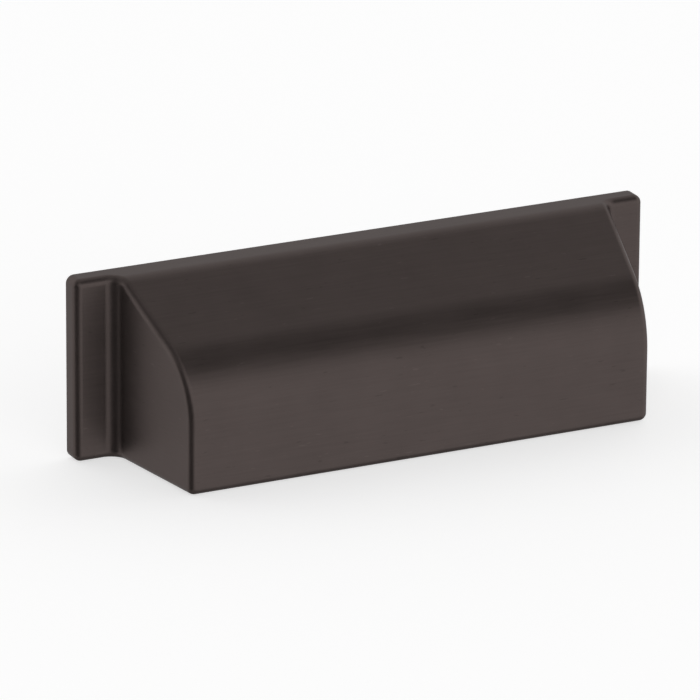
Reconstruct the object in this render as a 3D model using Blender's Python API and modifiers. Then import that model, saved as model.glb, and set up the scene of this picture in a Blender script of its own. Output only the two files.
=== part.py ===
"""A cup pull for a drawer, cast in one piece.

A flat back plate lies against the drawer. A hood leaves the plate's top edge, slopes
down and forward, turns through a round knee and ends in an upright front face, and its
end walls lean in towards the front. Fingers reach up behind the front face, so the hood
is hollow and open below and at the back. Two screw posts inside it have blind holes for
screws that come through the drawer from behind.

The pull stands on its bottom edge with its length along X and its front towards -Y.
Depth is measured forward from the back plane.
"""

import math

import bmesh
import bpy
from mathutils import Matrix

MM = 0.001

# Along the drawer: the screws, the hood past them and the wings past the hood
SCREW_SPACING = 96.0 * MM
HOOD_REACH = 11.55 * MM
WING_WIDTH = 9.45 * MM

# Back plate
PLATE_HEIGHT = 41.5 * MM
PLATE_THICKNESS = 4.8 * MM

# Outside of the hood
PROJECTION = 33.8 * MM
END_DRAFT = math.radians(8.3)
CREST_DEPTH = 7.0 * MM
SLOPE_FALL = math.radians(29.0)
CREST_RADIUS = 7.0 * MM
KNEE_RADIUS = 18.0 * MM
ROOT_RADIUS = 3.0 * MM
EDGE_RADIUS = 1.4 * MM

# Inside of the hood
WALL = 3.0 * MM
INNER_RADIUS = 1.5 * MM
LIP_RADIUS = 0.7 * MM

# Screw posts and their ribs
SCREW_DROP = 12.5 * MM
POST_RADIUS = 4.2 * MM
POST_DRAFT = math.radians(1.0)
RIB_THICKNESS = 2.4 * MM
# The ribs end this far in front of the back plane, clear of the drawer
RIB_RECESS = 0.4 * MM

# Blind holes, at the size they are drilled before tapping
HOLE_RADIUS = 1.65 * MM
HOLE_DEPTH = 14.0 * MM
HOLE_TIP_ANGLE = math.radians(59.0)
COUNTERSINK_WIDTH = 0.65 * MM

# Steps along each round
KNEE_STEPS = 20
CREST_STEPS = 8
ROOT_STEPS = 8
EDGE_STEPS = 4
INNER_STEPS = 3
LIP_STEPS = 2
POST_STEPS = 32
HOLE_STEPS = 24

# Cutters run this far past what they cut
OVERRUN = 5.0 * MM
# Edges that turn less than this belong to a round, and stay as they are
LEAST_EDGE_TURN = math.radians(35.0)
SAME_PLACE = 0.001 * MM

HOOD_LENGTH = SCREW_SPACING + 2 * HOOD_REACH
PLATE_LENGTH = HOOD_LENGTH + 2 * WING_WIDTH
SCREW_HEIGHT = PLATE_HEIGHT - SCREW_DROP
BACK_PLANE_Y = PROJECTION / 2

# A round takes at most half of the wall or the plate that it is on
OUTER_ROUND = min(EDGE_RADIUS, WALL / 2, PLATE_THICKNESS / 2)
LIP_ROUND = min(LIP_RADIUS, (WALL - OUTER_ROUND) / 2)

BRONZE_COLOR = (0.072, 0.056, 0.052, 1.0)
BRONZE_ROUGHNESS = 0.38


def clear_scene():
    for old in list(bpy.data.objects):
        bpy.data.objects.remove(old, do_unlink=True)


def new_collection(name):
    collection = bpy.data.collections.new(name)
    bpy.context.scene.collection.children.link(collection)
    return collection


def dark_bronze():
    """Satin bronze plating, brown going to black."""
    material = bpy.data.materials.new("dark_bronze")
    material.use_nodes = True
    shader = material.node_tree.nodes["Principled BSDF"]
    shader.inputs["Base Color"].default_value = BRONZE_COLOR
    shader.inputs["Metallic"].default_value = 1.0
    shader.inputs["Roughness"].default_value = BRONZE_ROUGHNESS
    return material


def rounded_outline(corners):
    """Points of a closed outline, from (u, v, radius, steps) corners in order.

    A corner with a radius becomes an arc that touches both of its sides.
    """
    points = []
    count = len(corners)
    for index, (u, v, radius, steps) in enumerate(corners):
        if radius <= 0:
            points.append((u, v))
            continue
        before = corners[index - 1]
        after = corners[(index + 1) % count]
        to_before = math.atan2(before[1] - v, before[0] - u)
        to_after = math.atan2(after[1] - v, after[0] - u)
        opening = (to_after - to_before + math.pi) % math.tau - math.pi
        middle = to_before + opening / 2
        reach = radius / math.sin(abs(opening) / 2)
        centre_u = u + reach * math.cos(middle)
        centre_v = v + reach * math.sin(middle)
        turn = math.copysign(math.pi - abs(opening), opening)
        start = middle + math.pi + turn / 2
        for step in range(steps + 1):
            angle = start - turn * step / steps
            points.append(
                (centre_u + radius * math.cos(angle), centre_v + radius * math.sin(angle))
            )
    return points


def evaluated_mesh(obj):
    """The object's mesh with its modifiers or its extrusion carried out."""
    graph = bpy.context.evaluated_depsgraph_get()
    graph.update()
    return bpy.data.meshes.new_from_object(obj.evaluated_get(graph))


def extruded(name, outline, half_length, matrix, collection):
    """A mesh object: a flat outline carried half_length to each side of its own plane."""
    curve = bpy.data.curves.new(name + "_outline", "CURVE")
    curve.dimensions = "2D"
    curve.fill_mode = "BOTH"
    curve.extrude = half_length
    spline = curve.splines.new("POLY")
    spline.points.add(len(outline) - 1)
    for point, (u, v) in zip(spline.points, outline):
        point.co = (u, v, 0.0, 1.0)
    spline.use_cyclic_u = True
    flat = bpy.data.objects.new(name + "_outline", curve)
    flat.matrix_world = matrix
    collection.objects.link(flat)

    mesh = evaluated_mesh(flat)
    shape = bmesh.new()
    shape.from_mesh(mesh)
    bmesh.ops.remove_doubles(shape, verts=shape.verts, dist=SAME_PLACE)
    bmesh.ops.recalc_face_normals(shape, faces=shape.faces)
    shape.to_mesh(mesh)
    shape.free()

    solid = bpy.data.objects.new(name, mesh)
    solid.matrix_world = flat.matrix_world
    collection.objects.link(solid)
    bpy.data.objects.remove(flat, do_unlink=True)
    return solid


def along_x(name, outline, half_length, collection):
    """An outline of (depth, height) points, carried along X."""
    points = [(BACK_PLANE_Y - depth, height) for depth, height in outline]
    turned = Matrix.Rotation(math.radians(90), 4, "Z") @ Matrix.Rotation(math.radians(90), 4, "X")
    return extruded(name, points, half_length, turned, collection)


def along_z(name, outline, half_length, collection):
    """An outline of (x, depth) points, carried along Z about the plate's middle height."""
    points = [(x, BACK_PLANE_Y - depth) for x, depth in outline]
    raised = Matrix.Translation((0.0, 0.0, PLATE_HEIGHT / 2))
    return extruded(name, points, half_length, raised, collection)


def carry_out(obj, operation, tool):
    """Cuts, joins or intersects obj with the tool, and keeps the result as obj's mesh."""
    boolean = obj.modifiers.new(operation.lower(), "BOOLEAN")
    boolean.operation = operation
    boolean.solver = "EXACT"
    boolean.object = tool
    result = evaluated_mesh(obj)
    obj.modifiers.clear()
    obj.data = result


def round_edges(obj, radius, steps, is_rounded):
    """Rounds each sharp outward edge whose two ends, in world space, pass is_rounded."""
    shape = bmesh.new()
    shape.from_mesh(obj.data)
    bmesh.ops.remove_doubles(shape, verts=shape.verts, dist=SAME_PLACE)
    chosen = []
    for edge in shape.edges:
        if not edge.is_manifold or edge.calc_face_angle_signed() < LEAST_EDGE_TURN:
            continue
        first, second = (obj.matrix_world @ vert.co for vert in edge.verts)
        if is_rounded(first, second):
            chosen.append(edge)
    bmesh.ops.bevel(
        shape,
        geom=chosen,
        offset=radius,
        offset_type="OFFSET",
        segments=steps,
        profile=0.5,
        affect="EDGES",
        clamp_overlap=False,
    )
    shape.to_mesh(obj.data)
    shape.free()


def keep_under_top(obj):
    """Lowers the points that rounding the roots' ends lifts above the top plane."""
    to_own = obj.matrix_world.inverted()
    for vertex in obj.data.vertices:
        place = obj.matrix_world @ vertex.co
        place.z = min(place.z, PLATE_HEIGHT)
        vertex.co = to_own @ place


def hood_half_length(depth, inset=0.0):
    """Half the hood's length at a depth, on the outside or at an inset in its end walls."""
    lean = (depth - PLATE_THICKNESS) * math.tan(END_DRAFT)
    return HOOD_LENGTH / 2 - lean - inset / math.cos(END_DRAFT)


def side_corners(inset):
    """The crest's and the knee's corners, before rounding, at an inset in the wall.

    An arc stays wide enough for the round that runs along it.
    """
    crest_depth = CREST_DEPTH - inset * math.tan(SLOPE_FALL / 2)
    crest_height = PLATE_HEIGHT - inset
    knee_depth = PROJECTION - inset
    knee_height = crest_height - (knee_depth - crest_depth) * math.tan(SLOPE_FALL)
    crest_radius = max(CREST_RADIUS - inset, 2 * INNER_RADIUS)
    knee_radius = max(KNEE_RADIUS - inset, 2 * INNER_RADIUS)
    return [
        (crest_depth, crest_height, crest_radius, CREST_STEPS),
        (knee_depth, knee_height, knee_radius, KNEE_STEPS),
    ]


def outer_block(collection):
    """The plate and the solid hood: the side outline and the plan outline, intersected."""
    side = rounded_outline(
        [
            (0.0, 0.0, 0.0, 0),
            (0.0, PLATE_HEIGHT, 0.0, 0),
            *side_corners(0.0),
            (PROJECTION, 0.0, 0.0, 0),
        ]
    )
    front = PROJECTION + OVERRUN
    half = [
        (PLATE_LENGTH / 2, -OVERRUN, 0.0, 0),
        (PLATE_LENGTH / 2, PLATE_THICKNESS, 0.0, 0),
        (hood_half_length(PLATE_THICKNESS), PLATE_THICKNESS, ROOT_RADIUS, ROOT_STEPS),
        (hood_half_length(front), front, 0.0, 0),
    ]
    other_half = [(-x, depth, radius, steps) for x, depth, radius, steps in reversed(half)]
    plan = rounded_outline(half + other_half)

    block = along_x("cup_pull_body", side, PLATE_LENGTH / 2 + OVERRUN, collection)
    plan_tool = along_z("plan_tool", plan, PLATE_HEIGHT / 2 + OVERRUN, collection)
    carry_out(block, "INTERSECT", plan_tool)
    bpy.data.objects.remove(plan_tool, do_unlink=True)

    def off_the_back(first, second):
        return min(first.y, second.y) < BACK_PLANE_Y - SAME_PLACE

    round_edges(block, OUTER_ROUND, EDGE_STEPS, off_the_back)
    keep_under_top(block)
    return block


def hollow_cutter(collection):
    """The hollow's shape, run out past the bottom and the back, less posts and ribs."""
    crest, knee = side_corners(WALL)
    side = rounded_outline(
        [
            (-OVERRUN, -OVERRUN, 0.0, 0),
            (-OVERRUN, PLATE_HEIGHT - WALL, 0.0, 0),
            crest,
            knee,
            (PROJECTION - WALL, -OVERRUN, 0.0, 0),
        ]
    )
    back, front = -2 * OVERRUN, PROJECTION
    plan = [
        (hood_half_length(back, WALL), back),
        (hood_half_length(front, WALL), front),
        (-hood_half_length(front, WALL), front),
        (-hood_half_length(back, WALL), back),
    ]
    cutter = along_x("hollow_cutter", side, PLATE_LENGTH / 2, collection)
    plan_tool = along_z("plan_tool", plan, PLATE_HEIGHT, collection)
    carry_out(cutter, "INTERSECT", plan_tool)
    bpy.data.objects.remove(plan_tool, do_unlink=True)

    def inside_the_hood(first, second):
        past_back = min(first.y, second.y) > BACK_PLANE_Y + OVERRUN - SAME_PLACE
        past_bottom = max(first.z, second.z) < -OVERRUN + SAME_PLACE
        return not (past_back or past_bottom)

    round_edges(cutter, INNER_RADIUS, INNER_STEPS, inside_the_hood)
    for side_sign in (-1, 1):
        for tool in (screw_post(side_sign, collection), post_rib(side_sign, collection)):
            carry_out(cutter, "DIFFERENCE", tool)
            bpy.data.objects.remove(tool, do_unlink=True)
    return cutter


def linked_object(name, shape, location, collection):
    """A mesh object from a bmesh, which is freed, at a location."""
    mesh = bpy.data.meshes.new(name)
    shape.to_mesh(mesh)
    shape.free()
    obj = bpy.data.objects.new(name, mesh)
    obj.location = location
    collection.objects.link(obj)
    return obj


def screw_post(side_sign, collection):
    """A post from behind the hollow to the hood's front, thicker towards the front."""
    behind = 2 * OVERRUN
    shape = bmesh.new()
    bmesh.ops.create_cone(
        shape,
        cap_ends=True,
        segments=POST_STEPS,
        radius1=POST_RADIUS - behind * math.tan(POST_DRAFT),
        radius2=POST_RADIUS + PROJECTION * math.tan(POST_DRAFT),
        depth=behind + PROJECTION,
    )
    middle_y = BACK_PLANE_Y + (behind - PROJECTION) / 2
    place = (side_sign * SCREW_SPACING / 2, middle_y, SCREW_HEIGHT)
    post = linked_object("screw_post", shape, place, collection)
    post.rotation_euler = (math.radians(90), 0.0, 0.0)
    return post


def post_rib(side_sign, collection):
    """A rib that joins a post to the roof above it."""
    size = (RIB_THICKNESS, PROJECTION - RIB_RECESS, SCREW_DROP)
    shape = bmesh.new()
    bmesh.ops.create_cube(shape, size=1.0)
    bmesh.ops.scale(shape, vec=size, verts=shape.verts)
    middle_y = BACK_PLANE_Y - (RIB_RECESS + PROJECTION) / 2
    place = (side_sign * SCREW_SPACING / 2, middle_y, SCREW_HEIGHT + SCREW_DROP / 2)
    return linked_object("post_rib", shape, place, collection)


def hole_cutter(name, side_sign, collection):
    """A turned tool: countersink, straight hole and the drill's cone at the bottom."""
    tip = HOLE_DEPTH + HOLE_RADIUS / math.tan(HOLE_TIP_ANGLE)
    profile = [
        (0.0, OVERRUN),
        (HOLE_RADIUS + COUNTERSINK_WIDTH + OVERRUN, OVERRUN),
        (HOLE_RADIUS, -COUNTERSINK_WIDTH),
        (HOLE_RADIUS, -HOLE_DEPTH),
        (0.0, -tip),
    ]
    shape = bmesh.new()
    verts = [shape.verts.new((radius, 0.0, along)) for radius, along in profile]
    for first, second in zip(verts, verts[1:]):
        shape.edges.new((first, second))
    place = (side_sign * SCREW_SPACING / 2, BACK_PLANE_Y, SCREW_HEIGHT)
    cutter = linked_object(name, shape, place, collection)
    cutter.rotation_euler = (math.radians(-90), 0.0, 0.0)
    cutter.hide_render = True
    cutter.display_type = "WIRE"
    turning = cutter.modifiers.new("turned", "SCREW")
    turning.axis = "Z"
    turning.steps = HOLE_STEPS
    turning.render_steps = HOLE_STEPS
    turning.use_merge_vertices = True
    turning.merge_threshold = SAME_PLACE
    return cutter


def build():
    clear_scene()
    parts = new_collection("cup_pull")
    cutters = new_collection("cup_pull_cutters")

    body = outer_block(parts)
    hollow = hollow_cutter(cutters)
    carry_out(body, "DIFFERENCE", hollow)
    bpy.data.objects.remove(hollow, do_unlink=True)

    def on_the_lip(first, second):
        """An edge of the hollow's mouth, in the bottom plane and clear of the outside."""
        for point in (first, second):
            depth = BACK_PLANE_Y - point.y
            within_front = depth < PROJECTION - WALL + SAME_PLACE
            within_ends = abs(point.x) < hood_half_length(depth, WALL) + SAME_PLACE
            if abs(point.z) > SAME_PLACE or not (within_front and within_ends):
                return False
        return True

    round_edges(body, LIP_ROUND, LIP_STEPS, on_the_lip)

    for name, side_sign in (("left_hole_cutter", -1), ("right_hole_cutter", 1)):
        cutter = hole_cutter(name, side_sign, cutters)
        drilled = body.modifiers.new(name, "BOOLEAN")
        drilled.operation = "DIFFERENCE"
        drilled.solver = "EXACT"
        drilled.object = cutter

    body.data.materials.clear()
    body.data.materials.append(dark_bronze())
    body.data.shade_smooth()
    body.data.set_sharp_from_angle(angle=LEAST_EDGE_TURN)


build()
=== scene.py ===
"""The looks of a one-piece cup pull: its cast surface, its dark bronze finish and its light."""

import logging
import math
from dataclasses import dataclass, field
from enum import Enum
from typing import Dict, List, Tuple, Union

import bmesh
import bpy
import numpy as np
from mathutils import Matrix, Vector


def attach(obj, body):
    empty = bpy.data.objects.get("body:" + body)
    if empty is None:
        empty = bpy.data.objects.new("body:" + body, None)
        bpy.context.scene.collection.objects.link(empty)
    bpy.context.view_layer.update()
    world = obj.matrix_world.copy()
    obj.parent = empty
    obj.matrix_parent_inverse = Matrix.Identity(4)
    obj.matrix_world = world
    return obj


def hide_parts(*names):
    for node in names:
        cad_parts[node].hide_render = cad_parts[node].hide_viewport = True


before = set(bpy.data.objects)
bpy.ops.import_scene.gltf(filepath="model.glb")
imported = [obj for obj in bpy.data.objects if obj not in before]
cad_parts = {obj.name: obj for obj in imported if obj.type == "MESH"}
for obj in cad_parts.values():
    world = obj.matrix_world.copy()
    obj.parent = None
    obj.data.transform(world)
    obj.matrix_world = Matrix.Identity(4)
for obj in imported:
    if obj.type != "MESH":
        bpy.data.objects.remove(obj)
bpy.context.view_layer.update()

LOG = logging.getLogger("cup_pull_scene")

Array = np.ndarray
Socket = bpy.types.NodeSocket
Pair = Tuple[float, float]
Triple = Tuple[float, float, float]

MM = 0.001
BODY_NODE = "cup_pull_body"
EDGE_RUB = "edge_rub"
PICTURE_WIDTH_PX = 700
# Points that round to the same multiple of this are one point
SAME_PLACE = 0.0002 * MM
# Columns of a skin's path are no closer than this to its first
CLOSEST_COLUMN = 0.05 * MM
# Rows of the table that finds a depth from a height
LOOKUP_STEPS = 2000
# Carries points of (X, depth, height) over to the other half
MIRROR = np.array([-1.0, 1.0, 1.0])


class Side(Enum):
    """The left and the right half, as the sign of X."""

    LEFT = -1
    RIGHT = 1


class Easing(Enum):
    """How a value goes from one level to another, by Blender's name."""

    STRAIGHT = "LINEAR"
    SMOOTH = "SMOOTHSTEP"


class Arithmetic(Enum):
    """What a math node does, by Blender's name."""

    ADD = "ADD"
    SUBTRACT = "SUBTRACT"
    MULTIPLY = "MULTIPLY"
    MAXIMUM = "MAXIMUM"
    ABSOLUTE = "ABSOLUTE"


def along_arc(start: Array, end: Array, steps: int) -> Array:
    """Unit directions turned evenly from start to end.

    With the angle W between the two, the direction at share t is
    (sin((1 - t) W) start + sin(t W) end) / sin W.

    Args:
        start: Unit directions, shape (n, 3).
        end: Unit directions, shape (n, 3), never parallel to start.
        steps: Number of steps, so steps + 1 directions come back.

    Returns:
        Directions of shape (n, steps + 1, 3).
    """
    share = np.linspace(0.0, 1.0, steps + 1)[None, :, None]
    turn = np.arccos(np.clip((start * end).sum(axis=1), -1.0, 1.0))[:, None, None]
    from_start = np.sin((1.0 - share) * turn) * start[:, None, :]
    from_end = np.sin(share * turn) * end[:, None, :]
    return (from_start + from_end) / np.sin(turn)


def rub_over(rows: int) -> Array:
    """Edge rub over a round's rows: a sine, 0 at both ends and 1 in the middle."""
    return np.sin(np.pi * np.linspace(0.0, 1.0, rows))


def without_repeats(block: Array) -> List[List[int]]:
    """Faces with neighbouring repeats of a point dropped, and faces without area left out.

    Args:
        block: Point numbers of shape (faces, corners).

    Returns:
        The point numbers of each face that is left.
    """
    keep = block != np.roll(block, 1, axis=1)
    left = keep.sum(axis=1)
    faces: List[List[int]] = []
    for count in np.unique(left[left > 2]):
        alike = left == count
        faces += block[alike][keep[alike]].reshape(-1, count).tolist()
    return faces


@dataclass
class Patchwork:
    """Grids and flat outlines that are welded into one mesh."""

    name: str
    points: List[Array] = field(default_factory=list)
    faces: List[Array] = field(default_factory=list)
    rubs: List[Array] = field(default_factory=list)
    count: int = 0

    def add_points(self, points: Array, rub: Array) -> Array:
        """Stores points with their edge rub.

        Args:
            points: Points of shape (..., 3).
            rub: How rubbed the finish is, in a shape that broadcasts to the points'.

        Returns:
            The points' numbers, of shape (...).
        """
        flat = points.reshape(-1, 3)
        numbers = self.count + np.arange(len(flat))
        self.points.append(flat)
        self.rubs.append(np.broadcast_to(rub, points.shape[:-1]).reshape(-1))
        self.count += len(flat)
        return numbers.reshape(points.shape[:-1])

    def add_grid(self, grid: Array, rub: Union[Array, float] = 0.0) -> None:
        """Adds a grid of points as quads.

        Args:
            grid: Points of shape (rows, columns, 3).
            rub: How rubbed the finish is at each point, or one value for all of them.
        """
        numbers = self.add_points(grid, np.asarray(rub, dtype=float))
        quads = (numbers[:-1, :-1], numbers[1:, :-1], numbers[1:, 1:], numbers[:-1, 1:])
        self.faces.append(np.stack(quads, axis=-1).reshape(-1, 4))

    def add_outline(self, outline: Array) -> None:
        """Adds one flat face from the points of its outline, in order."""
        numbers = self.add_points(outline, np.zeros(1))
        self.faces.append(numbers.reshape(1, -1))

    def mesh(self) -> bpy.types.Mesh:
        """Welds the points that share a place and makes the mesh, with its faces outward.

        Returns:
            The mesh, with the edge rub as an attribute of its points.
        """
        points = np.concatenate(self.points)
        keys = np.round(points / SAME_PLACE).astype(np.int64)
        _, first, number = np.unique(keys, axis=0, return_index=True, return_inverse=True)
        number = number.reshape(-1)
        faces = [face for block in self.faces for face in without_repeats(number[block])]

        mesh = bpy.data.meshes.new(self.name)
        mesh.from_pydata(points[first].tolist(), [], faces)
        rub = mesh.attributes.new(EDGE_RUB, "FLOAT", "POINT")
        rub.data.foreach_set("value", np.concatenate(self.rubs)[first].astype(np.float32))

        shape = bmesh.new()
        shape.from_mesh(mesh)
        bmesh.ops.recalc_face_normals(shape, faces=shape.faces)
        shape.to_mesh(mesh)
        shape.free()
        return mesh


@dataclass(frozen=True)
class PullSizes:
    """The casting's sizes, in metres and radians. Depth is measured forward from the back plane."""

    screw_spacing: float = 96.0 * MM
    hood_reach: float = 11.55 * MM
    wing_width: float = 9.45 * MM
    plate_height: float = 41.5 * MM
    plate_thickness: float = 4.8 * MM
    projection: float = 33.8 * MM
    end_draft: float = math.radians(8.3)
    crest_depth: float = 7.0 * MM
    slope_fall: float = math.radians(29.0)
    crest_radius: float = 7.0 * MM
    knee_radius: float = 18.0 * MM
    root_radius: float = 3.0 * MM
    # Wider than the solid's, as the photograph's edges are
    edge_radius: float = 1.8 * MM
    wall: float = 3.0 * MM
    inner_radius: float = 1.5 * MM
    lip_radius: float = 0.7 * MM
    screw_drop: float = 12.5 * MM
    post_radius: float = 4.2 * MM
    post_draft: float = math.radians(1.0)
    post_fillet: float = 1.0 * MM
    rib_thickness: float = 2.4 * MM
    rib_recess: float = 0.4 * MM
    hole_radius: float = 1.65 * MM
    hole_depth: float = 14.0 * MM
    hole_tip_angle: float = math.radians(59.0)
    countersink_width: float = 0.65 * MM

    @property
    def hood_length(self) -> float:
        """Length of the hood where it leaves the plate."""
        return self.screw_spacing + 2 * self.hood_reach

    @property
    def plate_length(self) -> float:
        """Length of the whole casting."""
        return self.hood_length + 2 * self.wing_width

    @property
    def screw_height(self) -> float:
        """Height of the screws above the bottom edge."""
        return self.plate_height - self.screw_drop

    @property
    def crest_start(self) -> float:
        """Depth where the flat top ends and the crest arc begins."""
        return self.crest_depth - self.crest_radius * math.tan(self.slope_fall / 2)

    def roof_at(self, depth: Array, inset: float) -> Tuple[Array, Array]:
        """Height and tilt of the roof's profile, moved inward by an inset.

        The profile is a flat top, a crest arc, a straight slope and a knee arc. A straight
        part at an inset is a parallel line, and an arc keeps its centre and loses the inset
        from its radius.

        Args:
            depth: Depths, none past the front at this inset.
            inset: Distance inside the outer profile.

        Returns:
            Heights, and tilts of the outward normal from straight up towards the front.
        """
        fall = self.slope_fall
        crest_arc = self.crest_radius - inset
        crest_middle = self.plate_height - self.crest_radius
        knee_arc = self.knee_radius - inset
        knee_depth = self.projection - self.knee_radius
        knee_drop = (self.projection - self.crest_depth) * math.tan(fall)
        knee_corner = self.plate_height - knee_drop
        knee_middle = knee_corner - self.knee_radius * math.tan((math.pi / 2 - fall) / 2)

        crest_share = np.clip((depth - self.crest_start) / crest_arc, 0.0, math.sin(fall))
        knee_share = np.clip((depth - knee_depth) / knee_arc, math.sin(fall), 1.0)
        on_crest = crest_middle + crest_arc * np.sqrt(1.0 - crest_share**2)
        on_knee = knee_middle + knee_arc * np.sqrt(1.0 - knee_share**2)
        crest_end = self.crest_start + crest_arc * math.sin(fall)
        knee_start = knee_depth + knee_arc * math.sin(fall)
        slope_top = crest_middle + crest_arc * math.cos(fall)
        on_slope = slope_top - (depth - crest_end) * math.tan(fall)
        height = np.where(depth < crest_end, on_crest, on_slope)
        height = np.where(depth > knee_start, on_knee, height)
        tilt = np.where(depth > knee_start, np.arcsin(knee_share), np.arcsin(crest_share))
        return height, tilt

    def depth_at(self, height: Array, inset: float) -> Array:
        """Depth of the slope or the knee at a height: roof_at read backwards from a table.

        Args:
            height: Heights between the front's top and the crest.
            inset: Distance inside the outer profile.

        Returns:
            Depths, one for each height.
        """
        depths = np.linspace(self.crest_depth, self.projection - inset, LOOKUP_STEPS)
        heights, _ = self.roof_at(depths, inset)
        return np.interp(-height, -heights, depths)

    def roof_depths(self, start: float, inset: float, arc_steps: int) -> Array:
        """Depths to sample the roof at, close on its arcs.

        Equal turns of an arc are equal steps of its angle, so their depths follow its sine.

        Args:
            start: The first depth.
            inset: Distance inside the outer profile.
            arc_steps: Samples on the crest, with three times as many on the knee.

        Returns:
            Rising depths from the start to the front.
        """
        fall = self.slope_fall
        crest_turns = np.linspace(0.0, fall, arc_steps)
        knee_turns = np.linspace(fall, math.pi / 2, 3 * arc_steps)
        knee_depth = self.projection - self.knee_radius
        crest = self.crest_start + (self.crest_radius - inset) * np.sin(crest_turns)
        knee = knee_depth + (self.knee_radius - inset) * np.sin(knee_turns)
        return np.concatenate([[start], crest[crest > start + CLOSEST_COLUMN], knee])

    def hood_half_length(self, depth: Array, inset: float) -> Array:
        """Half the hood's length at a depth, at an inset in its end walls."""
        lean = (depth - self.plate_thickness) * math.tan(self.end_draft)
        return self.hood_length / 2 - lean - inset / math.cos(self.end_draft)


@dataclass
class RolledSkin:
    """A skin whose walls and roof are joined by a ball rolled along inside their edge.

    The ball's centre follows the walls' plan and the roof's profile, both moved inward by
    the ball's radius. Its contact with the wall and with the roof bound the round between.
    Points are (X, depth, height) until they are placed.
    """

    sizes: PullSizes
    ball: float
    roof_inset: float
    path: Array
    wall_turn: Array
    floor_height: float
    round_steps: int
    wall_rows: int = 4

    def __post_init__(self) -> None:
        """Works out the ball's centres and its contact directions along the path."""
        height, tilt = self.sizes.roof_at(self.path[:, 1], self.roof_inset + self.ball)
        self.centre = np.column_stack([self.path, height])
        zero = np.zeros_like(tilt)
        turn = self.wall_turn
        self.to_wall = np.column_stack([-np.cos(turn), np.sin(turn), zero])
        self.to_roof = np.column_stack([zero, np.sin(tilt), np.cos(tilt)])

    def wall_grid(self) -> Tuple[Array, Array]:
        """The upright wall and the round above it.

        A column is the wall's contact line from the floor height up to the ball's centre,
        then the ball's arc from the wall's direction to the roof's.

        Returns:
            Points of shape (columns, rows, 3), and each point's share of the round.
        """
        share = np.linspace(0.0, 1.0, self.wall_rows)[None, :, None]
        top = self.centre + self.ball * self.to_wall
        foot = top.copy()
        foot[:, 2] = self.floor_height
        wall = foot[:, None, :] * (1.0 - share) + top[:, None, :] * share
        turned = along_arc(self.to_wall, self.to_roof, self.round_steps)
        arc = self.centre[:, None, :] + self.ball * turned
        grid = np.concatenate([wall, arc[:, 1:]], axis=1)
        arc_share = np.linspace(0.0, 1.0, self.round_steps + 1)[1:]
        share_row = np.concatenate([np.zeros(self.wall_rows), arc_share])
        return grid, np.broadcast_to(share_row, grid.shape[:2])

    def corner_turns(self) -> Array:
        """Directions from the end wall's to the front's, at the path's end."""
        front = np.array([[0.0, 1.0, 0.0]])
        return along_arc(self.to_wall[-1:], front, self.round_steps)[0]

    def corner_grid(self) -> Array:
        """The upright round between the end wall and the front.

        The ball's centre stays in one place in plan, and its contact line turns about it.

        Returns:
            Points of shape (turns, rows, 3).
        """
        turned = self.corner_turns()
        heights = np.linspace(self.floor_height, self.centre[-1, 2], self.wall_rows)
        grid = np.empty((len(turned), self.wall_rows, 3))
        grid[..., :2] = (self.centre[-1, :2] + self.ball * turned[:, :2])[:, None, :]
        grid[..., 2] = heights
        return grid

    def roof_line(self, first: int) -> Array:
        """Where the ball touches the roof, and from there down the front.

        Args:
            first: The column of the path to start from.

        Returns:
            Points of shape (n, 3).
        """
        touched = self.centre[first:] + self.ball * self.to_roof[first:]
        front = self.corner_grid()[-1, ::-1]
        return np.concatenate([touched, front[1:]])


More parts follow.
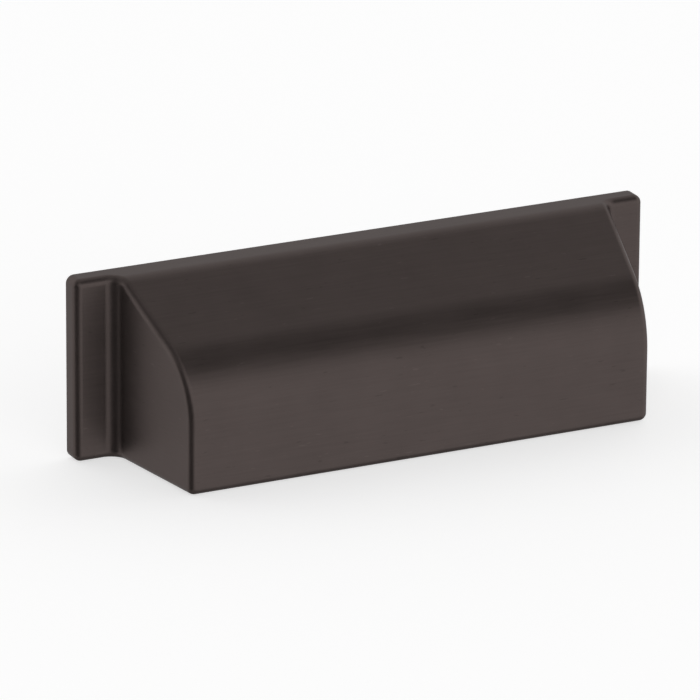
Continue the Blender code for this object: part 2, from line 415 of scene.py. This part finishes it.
class NodeSketch:
    """A short way to add and wire the nodes of a material or a world."""

    # A noise hardly leaves these values, which lie evenly about its mean
    NOISE_RANGE: Pair = (0.25, 0.75)

    def __init__(self, owner: bpy.types.ID) -> None:
        """Starts on the owner's own node tree, with the nodes it has by default."""
        owner.use_nodes = True
        self.tree = owner.node_tree

    def add(self, kind: str, **settings: object) -> bpy.types.Node:
        """A new node.

        Args:
            kind: Blender's name for the type of node.
            **settings: Properties of the node and their values.

        Returns:
            The node, not yet wired.
        """
        node = self.tree.nodes.new(kind)
        for name, value in settings.items():
            setattr(node, name, value)
        return node

    def wire(self, source: Socket, target: Socket) -> None:
        """Joins an output to an input."""
        self.tree.links.new(source, target)

    def noise(self, stretch: Triple, detail: float) -> Socket:
        """A noise on Object coordinates, with its own count of features a metre each way.

        Args:
            stretch: Features a metre along X, Y and Z.
            detail: Octaves of finer noise.

        Returns:
            The noise's value socket, from 0 to 1 about a mean of 0.5.
        """
        place = self.add("ShaderNodeTexCoord")
        mapping = self.add("ShaderNodeMapping")
        mapping.inputs["Scale"].default_value = stretch
        noise = self.add("ShaderNodeTexNoise")
        noise.inputs["Scale"].default_value = 1.0
        noise.inputs["Detail"].default_value = detail
        self.wire(place.outputs["Object"], mapping.inputs["Vector"])
        self.wire(mapping.outputs["Vector"], noise.inputs["Vector"])
        return noise.outputs["Fac"]

    def carried(
        self, value: Socket, ends: Pair, levels: Pair, easing: Easing = Easing.SMOOTH
    ) -> Socket:
        """A value carried from one level to another between two ends, and level past them.

        Args:
            value: The socket to carry over.
            ends: Where the first level ends and where the second begins.
            levels: The two levels.
            easing: How the value goes from the one to the other.

        Returns:
            The carried value's socket.
        """
        node = self.add("ShaderNodeMapRange", interpolation_type=easing.value)
        node.inputs["From Min"].default_value = ends[0]
        node.inputs["From Max"].default_value = ends[1]
        node.inputs["To Min"].default_value = levels[0]
        node.inputs["To Max"].default_value = levels[1]
        self.wire(value, node.inputs["Value"])
        return node.outputs["Result"]

    def about(self, noise: Socket, middle: float, swing: float) -> Socket:
        """A noise carried to a middle value, give or take a swing."""
        levels = (middle - swing, middle + swing)
        return self.carried(noise, self.NOISE_RANGE, levels, Easing.STRAIGHT)

    def math(self, what: Arithmetic, first: Socket, second: Union[Socket, float] = 0.0) -> Socket:
        """A math node.

        Args:
            what: What it does.
            first: The socket it works on.
            second: The other socket or number, which ABSOLUTE has no use for.

        Returns:
            The result's socket.
        """
        node = self.add("ShaderNodeMath", operation=what.value)
        self.wire(first, node.inputs[0])
        if isinstance(second, (int, float)):
            node.inputs[1].default_value = second
        else:
            self.wire(second, node.inputs[1])
        return node.outputs["Value"]


def grey(level: float) -> Tuple[float, float, float, float]:
    """An even grey as a colour that covers fully."""
    return (level, level, level, 1.0)


@dataclass(frozen=True)
class DarkBronze:
    """Oil-rubbed bronze over cast zinc: dark, satin, finely brushed along the length.

    A tone or a swing is a share of the colour, and a rough swing is added to the roughness.
    Ends are noise values, at which a mark begins and at which it is full.
    """

    color: Triple = (0.1055, 0.0843, 0.0795)
    grazing_tint: float = 0.50
    metal_share: float = 0.64
    patina_gloss: float = 0.10
    roughness: float = 0.38
    brush_length: float = 14.0 * MM
    brush_width: float = 0.48 * MM
    brush_detail: float = 3.0
    brush_swing: float = 0.055
    brush_rough_swing: float = 0.04
    brush_height: float = 0.0022 * MM
    bump_strength: float = 0.35
    fleck_length: float = 3.4 * MM
    fleck_width: float = 0.75 * MM
    fleck_detail: float = 1.0
    fleck_tone: float = 0.17
    light_fleck_ends: Pair = (0.72, 0.80)
    dark_fleck_ends: Pair = (0.28, 0.20)
    mottle_size: float = 9.0 * MM
    mottle_detail: float = 4.0
    mottle_swing: float = 0.044
    mottle_rough_swing: float = 0.01
    rub_tone: float = 0.12
    rub_polish: float = 0.05
    rub_ends: Pair = (0.35, 0.65)
    rub_levels: Pair = (0.25, 1.0)
    # How far a face looks along X where the brushing begins to turn and where it has turned
    turn_ends: Pair = (0.5, 0.85)

    def material(self) -> bpy.types.Material:
        """The finish as a procedural material.

        Returns:
            The material, with colour, roughness and bump from the same noises.
        """
        material = bpy.data.materials.new("dark_bronze")
        sketch = NodeSketch(material)
        shader = sketch.tree.nodes["Principled BSDF"]
        brush = self._brushed(sketch, self.brush_length, self.brush_width, self.brush_detail)
        flecks = self._flecks(sketch)
        mottle = sketch.noise((1.0 / self.mottle_size,) * 3, self.mottle_detail)
        rub = self._edge_rub(sketch, mottle)

        tone = sketch.about(mottle, 1.0, self.mottle_swing)
        for more in (
            sketch.about(brush, 0.0, self.brush_swing),
            sketch.math(Arithmetic.MULTIPLY, flecks, self.fleck_tone),
            sketch.math(Arithmetic.MULTIPLY, rub, self.rub_tone),
        ):
            tone = sketch.math(Arithmetic.ADD, tone, more)
        tint = sketch.add("ShaderNodeVectorMath", operation="SCALE")
        tint.inputs[0].default_value = self.color
        sketch.wire(tone, tint.inputs["Scale"])
        sketch.wire(tint.outputs["Vector"], shader.inputs["Base Color"])

        rough = sketch.about(mottle, self.roughness, self.mottle_rough_swing)
        brushed_rough = sketch.about(brush, 0.0, self.brush_rough_swing)
        polish = sketch.math(Arithmetic.MULTIPLY, rub, self.rub_polish)
        rough = sketch.math(Arithmetic.ADD, rough, brushed_rough)
        rough = sketch.math(Arithmetic.SUBTRACT, rough, polish)
        sketch.wire(rough, shader.inputs["Roughness"])
        shader.inputs["Metallic"].default_value = self.metal_share
        shader.inputs["Specular IOR Level"].default_value = self.patina_gloss
        shader.inputs["Specular Tint"].default_value = grey(self.grazing_tint)

        bump = sketch.add("ShaderNodeBump")
        bump.inputs["Strength"].default_value = self.bump_strength
        bump.inputs["Distance"].default_value = self.brush_height
        sketch.wire(sketch.math(Arithmetic.ADD, brush, flecks), bump.inputs["Height"])
        sketch.wire(bump.outputs["Normal"], shader.inputs["Normal"])
        return material

    def _brushed(self, sketch: NodeSketch, length: float, width: float, detail: float) -> Socket:
        """A noise drawn out along the brushing.

        Args:
            sketch: The material's nodes.
            length: Length of a feature along the brushing.
            width: Width of a feature across it.
            detail: Octaves of finer noise.

        Returns:
            The noise's socket: along X on most faces, along Y where a face looks along X.
        """
        fine, long = 1.0 / width, 1.0 / length
        front = sketch.noise((long, fine, fine), detail)
        end = sketch.noise((fine, long, fine), detail)
        return self._by_facing(sketch, front, end)

    def _flecks(self, sketch: NodeSketch) -> Socket:
        """Sparse short marks along the brushing.

        Args:
            sketch: The material's nodes.

        Returns:
            A socket that is 1 on a light mark, -1 on a dark one and 0 elsewhere.
        """
        noise = self._brushed(sketch, self.fleck_length, self.fleck_width, self.fleck_detail)
        light = sketch.carried(noise, self.light_fleck_ends, (0.0, 1.0))
        dark = sketch.carried(noise, self.dark_fleck_ends, (0.0, 1.0))
        return sketch.math(Arithmetic.SUBTRACT, light, dark)

    def _edge_rub(self, sketch: NodeSketch, mottle: Socket) -> Socket:
        """How rubbed an edge is: what the mesh says, broken up by the mottle.

        Args:
            sketch: The material's nodes.
            mottle: The mottle's noise.

        Returns:
            A socket from 0 to 1.
        """
        rubbed = sketch.add("ShaderNodeAttribute", attribute_name=EDGE_RUB)
        patchy = sketch.carried(mottle, self.rub_ends, self.rub_levels)
        return sketch.math(Arithmetic.MULTIPLY, rubbed.outputs["Fac"], patchy)

    def _by_facing(self, sketch: NodeSketch, front: Socket, end: Socket) -> Socket:
        """The front's brushing, giving way to the end's where the surface faces along X.

        Args:
            sketch: The material's nodes.
            front: The value on faces that look forward, up or back.
            end: The value on faces that look along X.

        Returns:
            The mixed value's socket.
        """
        geometry = sketch.add("ShaderNodeNewGeometry")
        apart = sketch.add("ShaderNodeSeparateXYZ")
        sketch.wire(geometry.outputs["Normal"], apart.inputs["Vector"])
        sideways = sketch.math(Arithmetic.ABSOLUTE, apart.outputs["X"])
        mix = sketch.add("ShaderNodeMix", data_type="FLOAT")
        sketch.wire(sketch.carried(sideways, self.turn_ends, (0.0, 1.0)), mix.inputs["Factor"])
        sketch.wire(front, mix.inputs["A"])
        sketch.wire(end, mix.inputs["B"])
        return mix.outputs["Result"]


@dataclass
class CastPull:
    """The whole casting: plate, hood, hollow, screw posts and ribs, as one mesh."""

    sizes: PullSizes = field(default_factory=PullSizes)
    finish: DarkBronze = field(default_factory=DarkBronze)
    round_steps: int = 10
    arc_steps: int = 9
    across_steps: int = 12
    end_columns: int = 3
    wing_columns: int = 4
    post_steps: int = 48
    flare_steps: int = 6
    rib_columns: int = 40
    sharp_angle: float = math.radians(32.0)
    normal_weight: int = 80

    def placed(self, points: Array) -> Array:
        """Carries points into the row's frame, where the back plane faces +Y.

        Args:
            points: Points of (X, depth, height), shape (..., 3).

        Returns:
            Points of (X, Y, Z), with Y half the projection less the depth.
        """
        moved = points.copy()
        moved[..., 1] = self.sizes.projection / 2 - points[..., 1]
        return moved

    def outer_skin(self) -> Tuple[RolledSkin, int]:
        """The outside, from the back plane round a wing, along the end wall to the front.

        Returns:
            The skin, and the number of the column where the wing ends.
        """
        sizes = self.sizes
        ball = sizes.edge_radius
        end_x = sizes.plate_length / 2 - ball
        wing_depth = sizes.plate_thickness - ball
        # The root's arc touches the plate and the end wall
        reach = sizes.root_radius + ball
        root_depth = sizes.plate_thickness + sizes.root_radius
        root_x = sizes.hood_half_length(np.array(root_depth), -sizes.root_radius)

        plate_depths = np.linspace(0.0, wing_depth, self.end_columns)
        plate_end = np.column_stack([np.full(self.end_columns, -end_x), plate_depths])
        corner = np.repeat(plate_end[-1:], self.round_steps, axis=0)
        wing_x = np.linspace(-end_x, -root_x, self.wing_columns + 1)[1:]
        wing = np.column_stack([wing_x, np.full(self.wing_columns, wing_depth)])
        root_turn = np.linspace(math.pi / 2, sizes.end_draft, 3 * self.round_steps)[1:]
        root = np.column_stack(
            [-root_x + reach * np.cos(root_turn), root_depth - reach * np.sin(root_turn)]
        )
        wall_depths = sizes.roof_depths(root[-1, 1], ball, self.arc_steps)[1:]
        wall = np.column_stack([-sizes.hood_half_length(wall_depths, ball), wall_depths])
        path = np.concatenate([plate_end, corner, wing, root, wall])
        turn = np.concatenate(
            [
                np.zeros(self.end_columns),
                np.linspace(0.0, math.pi / 2, self.round_steps + 1)[1:],
                np.full(self.wing_columns, math.pi / 2),
                root_turn,
                np.full(len(wall), sizes.end_draft),
            ]
        )
        skin = RolledSkin(sizes, ball, 0.0, path, turn, ball, self.round_steps)
        return skin, self.end_columns + self.round_steps + self.wing_columns - 1

    def inner_skin(self) -> RolledSkin:
        """The hollow, whose end walls run straight from the back plane to the front.

        Returns:
            The skin, with its walls' direction pointing into the metal.
        """
        sizes = self.sizes
        ball = sizes.inner_radius
        inset = sizes.wall + ball
        depths = sizes.roof_depths(0.0, inset, self.arc_steps)
        path = np.column_stack([-sizes.hood_half_length(depths, inset), depths])
        turn = np.full(len(depths), sizes.end_draft)
        return RolledSkin(sizes, ball, sizes.wall, path, turn, sizes.lip_radius, self.round_steps)

    def foot_arcs(self, centre: Array, radius: float, to_side: Array) -> Array:
        """Quarter rounds from straight down to a side, about centres at the radius's height.

        Args:
            centre: The rounds' centres in plan, shape (n, 2) or more.
            radius: Their radius.
            to_side: Level unit directions, shape (n, 3).

        Returns:
            Points of shape (n, steps + 1, 3).
        """
        down = np.broadcast_to([0.0, 0.0, -1.0], to_side.shape)
        middle = np.column_stack([centre[:, :2], np.full(len(centre), radius)])
        return middle[:, None, :] + radius * along_arc(down, to_side, self.round_steps)

    def feet(self, skin: RolledSkin, radius: float, outward: float) -> Tuple[Array, Array]:
        """The quarter rounds under a skin's walls.

        A round's centre lies off the ball's, along the wall's direction, by the ball's
        radius less the round's own, or plus it where the round turns the other way.

        Args:
            skin: The skin.
            radius: The rounds' radius.
            outward: 1 where the walls' direction points out of the metal, and -1 into it.

        Returns:
            The rounds along the path, and those round the corner at its end.
        """
        offset = skin.ball - outward * radius
        turned = skin.corner_turns()
        along = self.foot_arcs(skin.centre + offset * skin.to_wall, radius, outward * skin.to_wall)
        around = self.foot_arcs(skin.centre[-1] + offset * turned, radius, outward * turned)
        return along, around

    def across(self, line: Array) -> Array:
        """A line on the left carried straight over to its mirror image on the right.

        Args:
            line: Points of shape (n, 3).

        Returns:
            Points of shape (n, steps + 1, 3), with X stepped evenly from side to side.
        """
        share = np.linspace(-1.0, 1.0, self.across_steps + 1)
        grid = np.repeat(line[:, None, :], len(share), axis=1)
        grid[..., 0] = -line[:, :1] * share
        return grid

    def between(self, end: Array) -> Array:
        """The points between one point, of shape (1, 3), and its mirror image."""
        return self.across(end)[0, 1:-1]

    def horseshoe(self, outer: Array, inner: Array) -> Array:
        """A flat outline between two lines on the left and their mirror images.

        It follows the outer line, crosses to the right and follows its image back, then
        does the same the other way along the inner line's image and the inner line.

        Args:
            outer: The outer line, shape (n, 3).
            inner: The inner line, shape (m, 3), which ends beside the outer line's end.

        Returns:
            The outline's points, in order.
        """
        there = [outer, self.between(outer[-1:]), (outer * MIRROR)[::-1]]
        back = [inner * MIRROR, self.between(inner[-1:])[::-1], inner[::-1]]
        return np.concatenate(there + back)

    def add_skin(
        self,
        work: Patchwork,
        skin: RolledSkin,
        feet: Tuple[Array, Array],
        first: int,
        rubbed: float,
    ) -> None:
        """Adds a skin: walls, corners and feet on both sides, and roof and front across.

        Args:
            work: The patchwork to add to.
            skin: The skin.
            feet: The rounds under it, along the path and round the corner.
            first: The column of the path where the roof starts.
            rubbed: 1 where the walls' and corners' rounds are rubbed, and 0 in the hollow.
        """
        along, around = feet
        wall, share = skin.wall_grid()
        corner = skin.corner_grid()
        foot_rub = rub_over(along.shape[1])
        patches = (
            (wall, rubbed * np.sin(np.pi * share)),
            (corner, rubbed * rub_over(len(corner))[:, None]),
            (along, foot_rub),
            (around, foot_rub),
        )
        for flip in (np.ones(3), MIRROR):
            for grid, rub in patches:
                work.add_grid(self.placed(grid * flip), rub)
        work.add_grid(self.placed(self.across(skin.roof_line(first))))
        work.add_grid(self.placed(self.across(around[-1])), foot_rub[:, None])

    def shell(self) -> bpy.types.Mesh:
        """The plate and the hollow hood, without the posts.

        Returns:
            One closed mesh of the two skins and the three flat faces that join them.
        """
        work = Patchwork("cup_pull_shell")
        outer, wing_end = self.outer_skin()
        inner = self.inner_skin()
        outer_feet = self.feet(outer, self.sizes.edge_radius, 1.0)
        inner_feet = self.feet(inner, self.sizes.lip_radius, -1.0)
        self.add_skin(work, outer, outer_feet, wing_end, 1.0)
        self.add_skin(work, inner, inner_feet, 0, 0.0)

        # The flat top of the plate, behind the root
        rim = (outer.centre + outer.ball * outer.to_roof)[: wing_end + 1]
        there = [rim, self.between(rim[-1:])]
        back = [(rim * MIRROR)[::-1], self.between(rim[:1])[::-1]]
        top = np.concatenate(there + back)
        # The flat ring that the pull stands on, and the flat back round the hollow's mouth
        rings: List[Array] = []
        sides: List[Array] = []
        for skin, (along, around) in ((outer, outer_feet), (inner, inner_feet)):
            rings.append(np.concatenate([along[:, 0], around[:, 0]]))
            sides.append(np.concatenate([along[0], skin.wall_grid()[0][0]]))
        for outline in (top, self.horseshoe(*rings), self.horseshoe(*sides)):
            work.add_outline(self.placed(outline))
        return work.mesh()

    def bore_profile(self) -> Tuple[Array, Array]:
        """The hole's profile from its tip: the drill's cone, the bore and the countersink.

        Returns:
            Radii and depths of its points.
        """
        sizes = self.sizes
        tip = sizes.hole_depth + sizes.hole_radius / math.tan(sizes.hole_tip_angle)
        mouth = sizes.hole_radius + sizes.countersink_width
        radius = np.array([0.0, sizes.hole_radius, sizes.hole_radius, mouth])
        depth = np.array([tip, sizes.hole_depth, sizes.countersink_width, 0.0])
        return radius, depth

    def post(self, side: Side) -> bpy.types.Mesh:
        """A screw post with its blind hole.

        The post is a line carried round the screw's axis. Each line runs from the back
        plane to the middle of the hood's wall at its own height, widens by its draft, and
        flares in a quarter round where it meets the hollow's roof. The hole is a profile
        turned about the same axis.

        Args:
            side: The half it stands in.

        Returns:
            A closed mesh, from the hole's tip to the cap inside the hood's wall.
        """
        sizes = self.sizes
        fillet = sizes.post_fillet
        angle = np.linspace(0.0, math.tau, self.post_steps + 1)
        height = sizes.screw_height + sizes.post_radius * np.sin(angle)
        meets = sizes.depth_at(height, sizes.wall)[:, None]
        ends = sizes.depth_at(height, sizes.wall / 2)[:, None]
        # At the back plane and half way, then through the flare, then inside the wall
        straight = (meets - fillet) * np.array([0.0, 0.5])
        curved = meets - fillet * (1.0 - np.linspace(0.0, 1.0, self.flare_steps + 1))
        depth = np.concatenate([straight, curved, ends], axis=1)
        away = np.clip((meets - depth) / fillet, 0.0, 1.0)
        flare = fillet * (1.0 - np.sqrt(1.0 - (1.0 - away) ** 2))
        radius = sizes.post_radius + depth * math.tan(sizes.post_draft) + flare

        hole_radius, hole_depth = self.bore_profile()
        turned = (len(angle), len(hole_radius))
        on_axis = np.zeros((len(angle), 1))
        cap_depth = np.full_like(on_axis, ends.mean())
        radius = np.concatenate([np.broadcast_to(hole_radius, turned), radius, on_axis], axis=1)
        depth = np.concatenate([np.broadcast_to(hole_depth, turned), depth, cap_depth], axis=1)
        x = side.value * sizes.screw_spacing / 2 + radius * np.cos(angle)[:, None]
        z = sizes.screw_height + radius * np.sin(angle)[:, None]
        work = Patchwork(f"{side.name.lower()}_post")
        work.add_grid(self.placed(np.stack([x, depth, z], axis=-1)))
        return work.mesh()

    def rib(self, side: Side) -> bpy.types.Mesh:
        """A flat rib from the post's ring up to the roof, set back from the back plane.

        It is a section carried across: its outline follows the middle of the roof's wall,
        and its base lies in the post's ring, clear of the hole.

        Args:
            side: The half it stands in.

        Returns:
            A closed mesh, which overlaps the post and the roof.
        """
        sizes = self.sizes
        half = sizes.rib_thickness / 2
        hole_edge = sizes.hole_radius + sizes.countersink_width
        foot = sizes.screw_height + (hole_edge + sizes.post_radius) / 2
        last = float(sizes.depth_at(np.array(foot), sizes.wall / 2))
        depths = np.linspace(sizes.rib_recess, last, self.rib_columns)
        heights, _ = sizes.roof_at(depths, sizes.wall / 2)
        base = np.array([[last, foot], [sizes.rib_recess, foot]])
        outline = np.concatenate([np.column_stack([depths, heights]), base])
        closed = np.concatenate([outline, outline[:1]])
        flanks = [
            np.column_stack([np.full(len(closed), at), closed])
            for at in side.value * sizes.screw_spacing / 2 + np.array([-half, half])
        ]
        work = Patchwork(f"{side.name.lower()}_rib")
        work.add_grid(self.placed(np.stack(flanks, axis=1)))
        for flank in flanks:
            work.add_outline(self.placed(flank[:-1]))
        return work.mesh()

    def build(self) -> bpy.types.Object:
        """Joins shell, posts and ribs, and shades them smooth.

        Returns:
            The casting's object.
        """
        pull = new_object("cast_cup_pull", self.shell())
        for side in Side:
            for mesh in (self.post(side), self.rib(side)):
                join(pull, mesh)
        pull.data.shade_smooth()
        pull.data.set_sharp_from_angle(angle=self.sharp_angle)
        normals = pull.modifiers.new("even_normals", "WEIGHTED_NORMAL")
        normals.keep_sharp = True
        normals.weight = self.normal_weight
        return pull

    def dress(self, pull: bpy.types.Object) -> None:
        """Gives the casting its finish, hides the solid it stands in for and attaches it to the
        root body.

        Args:
            pull: The casting's object.
        """
        pull.data.materials.clear()
        pull.data.materials.append(self.finish.material())
        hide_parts(BODY_NODE)
        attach(pull, "root")


def new_object(name: str, mesh: bpy.types.Mesh) -> bpy.types.Object:
    """A linked object at the origin that shows a mesh.

    Args:
        name: The object's name.
        mesh: Its mesh.

    Returns:
        The object.
    """
    obj = bpy.data.objects.new(name, mesh)
    bpy.context.scene.collection.objects.link(obj)
    return obj


def join(obj: bpy.types.Object, mesh: bpy.types.Mesh) -> None:
    """Unites a closed mesh with obj's mesh, and removes the object that it needed for that.

    Args:
        obj: The object that keeps the result.
        mesh: A closed mesh that overlaps it.
    """
    tool = new_object(mesh.name, mesh)
    union = obj.modifiers.new("union", "BOOLEAN")
    union.operation = "UNION"
    union.solver = "EXACT"
    union.object = tool
    graph = bpy.context.evaluated_depsgraph_get()
    graph.update()
    united = bpy.data.meshes.new_from_object(obj.evaluated_get(graph))
    obj.modifiers.clear()
    obj.data = united
    bpy.data.objects.remove(tool, do_unlink=True)


@dataclass(frozen=True)
class DarkSpot:
    """A dim part of the surroundings, as a dark card gives that stands beside metal."""

    toward: Triple
    full_within: float
    none_beyond: float
    depth: float

    def shade(self, sketch: NodeSketch, direction: Socket) -> Socket:
        """How much the spot takes away, by the cosine of the angle to its middle.

        Args:
            sketch: The world's nodes.
            direction: The direction that is looked in.

        Returns:
            A socket from 0 to the spot's depth.
        """
        near = sketch.add("ShaderNodeVectorMath", operation="DOT_PRODUCT")
        near.inputs[1].default_value = Vector(self.toward).normalized()
        sketch.wire(direction, near.inputs[0])
        ends = (math.cos(self.none_beyond), math.cos(self.full_within))
        return sketch.carried(near.outputs["Value"], ends, (0.0, self.depth))


@dataclass
class Studio:
    """The plain pale floor, the soft surrounding light and the camera.

    Ends of the surroundings are parts of a unit direction: Z for high and under, Y for behind.
    """

    floor_size: float = 12.0
    floor_drop: float = 0.05 * MM
    floor_tone: float = 0.66
    floor_glow: float = 0.62
    low_level: float = 1.0
    high_level: float = 0.385
    high_ends: Pair = (0.50, 0.98)
    under_level: float = 0.35
    under_ends: Pair = (-0.55, -0.85)
    behind_level: float = 0.03
    behind_ends: Pair = (0.0, 0.85)
    spots: Tuple[DarkSpot, ...] = (
        DarkSpot((0.42, -0.40, 0.81), math.radians(12.0), math.radians(29.0), 0.68),
        DarkSpot((-0.85, -0.53, -0.12), math.radians(26.0), math.radians(46.0), 1.0),
        DarkSpot((-0.75, -0.16, 0.63), math.radians(15.0), math.radians(40.0), 0.62),
    )
    azimuth: float = math.radians(26.437)
    elevation: float = math.radians(19.543)
    roll: float = math.radians(0.417)
    distance: float = 1.6222
    pixels_a_metre: float = 4596.0
    aim: Triple = (-5.874 * MM, 6.9 * MM, 18.234 * MM)
    sensor_width_mm: float = 36.0
    clip_start: float = 0.05
    clip_end: float = 50.0

    def floor(self) -> bpy.types.Object:
        """A wide floor under the pull, pale from above and clear from below.

        Returns:
            The floor's object.
        """
        half = self.floor_size / 2
        mesh = bpy.data.meshes.new("floor")
        square = [(-half, -half, 0.0), (half, -half, 0.0), (half, half, 0.0), (-half, half, 0.0)]
        mesh.from_pydata(square, [], [(0, 1, 2, 3)])
        floor = new_object("floor", mesh)
        floor.location.z = -self.floor_drop
        floor.data.materials.append(self._floor_material())
        return floor

    def _floor_material(self) -> bpy.types.Material:
        """Matt and pale, with a plain glow where the camera sees it.

        It is clear on its underside and in reflections, which show the surroundings.

        Returns:
            The material.
        """
        material = bpy.data.materials.new("pale_floor")
        sketch = NodeSketch(material)
        tree = sketch.tree
        tree.nodes.remove(tree.nodes["Principled BSDF"])
        path = sketch.add("ShaderNodeLightPath")
        matt = sketch.add("ShaderNodeBsdfDiffuse")
        matt.inputs["Color"].default_value = grey(self.floor_tone)
        glow = sketch.add("ShaderNodeEmission")
        strength = sketch.math(
            Arithmetic.MULTIPLY, path.outputs["Is Camera Ray"], self.floor_glow
        )
        sketch.wire(strength, glow.inputs["Strength"])
        lit = sketch.add("ShaderNodeAddShader")
        sketch.wire(matt.outputs["BSDF"], lit.inputs[0])
        sketch.wire(glow.outputs["Emission"], lit.inputs[1])
        clear = sketch.add("ShaderNodeBsdfTransparent")
        geometry = sketch.add("ShaderNodeNewGeometry")
        unseen = sketch.math(
            Arithmetic.MAXIMUM, geometry.outputs["Backfacing"], path.outputs["Is Glossy Ray"]
        )
        mix = sketch.add("ShaderNodeMixShader")
        sketch.wire(unseen, mix.inputs["Fac"])
        sketch.wire(lit.outputs["Shader"], mix.inputs[1])
        sketch.wire(clear.outputs["BSDF"], mix.inputs[2])
        sketch.wire(mix.outputs["Shader"], tree.nodes["Material Output"].inputs["Surface"])
        return material

    def surroundings(self) -> bpy.types.World:
        """A soft world: pale low down all round, dimmer high up and straight below.

        It is a little brighter behind, has its dark spots, and is white to the camera.

        Returns:
            The world, which the scene now has.
        """
        world = bpy.data.worlds.new("studio")
        bpy.context.scene.world = world
        sketch = NodeSketch(world)
        background = sketch.tree.nodes["Background"]
        background.inputs["Color"].default_value = grey(1.0)
        direction = sketch.add("ShaderNodeTexCoord").outputs["Generated"]
        apart = sketch.add("ShaderNodeSeparateXYZ")
        sketch.wire(direction, apart.inputs["Vector"])
        to_y, to_z = apart.outputs["Y"], apart.outputs["Z"]

        level = sketch.carried(to_z, self.high_ends, (self.low_level, self.high_level))
        under = sketch.carried(to_z, self.under_ends, (1.0, self.under_level))
        behind = sketch.carried(to_y, self.behind_ends, (0.0, self.behind_level))
        level = sketch.math(Arithmetic.MULTIPLY, level, under)
        level = sketch.math(Arithmetic.ADD, level, behind)
        for spot in self.spots:
            level = sketch.math(Arithmetic.SUBTRACT, level, spot.shade(sketch, direction))
        level = sketch.math(Arithmetic.MAXIMUM, level, 0.0)
        path = sketch.add("ShaderNodeLightPath")
        for seen in ("Is Camera Ray", "Is Transmission Ray"):
            level = sketch.math(Arithmetic.MAXIMUM, level, path.outputs[seen])
        sketch.wire(level, background.inputs["Strength"])
        return world

    def camera(self) -> bpy.types.Object:
        """The camera at the photograph's viewing angle.

        It looks at the aim from the distance, from the azimuth to the left of the front and
        the elevation above level, and is turned by the roll about its own axis.

        Returns:
            The camera's object, which the scene now uses.
        """
        toward = Vector(
            (
                -math.sin(self.azimuth) * math.cos(self.elevation),
                -math.cos(self.azimuth) * math.cos(self.elevation),
                math.sin(self.elevation),
            )
        )
        right = Vector((math.cos(self.azimuth), -math.sin(self.azimuth), 0.0))
        upright = toward.cross(right)
        turned_right = math.cos(self.roll) * right + math.sin(self.roll) * upright
        turned_up = -math.sin(self.roll) * right + math.cos(self.roll) * upright
        data = bpy.data.cameras.new("camera")
        data.sensor_width = self.sensor_width_mm
        data.lens = self.pixels_a_metre * self.distance * data.sensor_width / PICTURE_WIDTH_PX
        data.clip_start = self.clip_start
        data.clip_end = self.clip_end
        camera = bpy.data.objects.new("camera", data)
        bpy.context.scene.collection.objects.link(camera)
        turn = Matrix((turned_right, turned_up, toward)).transposed().to_4x4()
        camera.matrix_world = Matrix.Translation(Vector(self.aim) + toward * self.distance) @ turn
        bpy.context.scene.camera = camera
        return camera


def main() -> None:
    """Builds the pull, dresses it, and sets the studio up round it."""
    logging.basicConfig(level=logging.INFO, format="%(name)s: %(message)s")
    bpy.context.scene.view_settings.view_transform = "Standard"

    casting = CastPull()
    pull = casting.build()
    casting.dress(pull)
    LOG.info("%s: %d faces, in place of %s", pull.name, len(pull.data.polygons), BODY_NODE)

    studio = Studio()
    for piece in (studio.floor(), studio.surroundings(), studio.camera()):
        LOG.info("%s: set up", piece.name)

    LOG.info("scene ready")


if __name__ == "__main__":
    main()
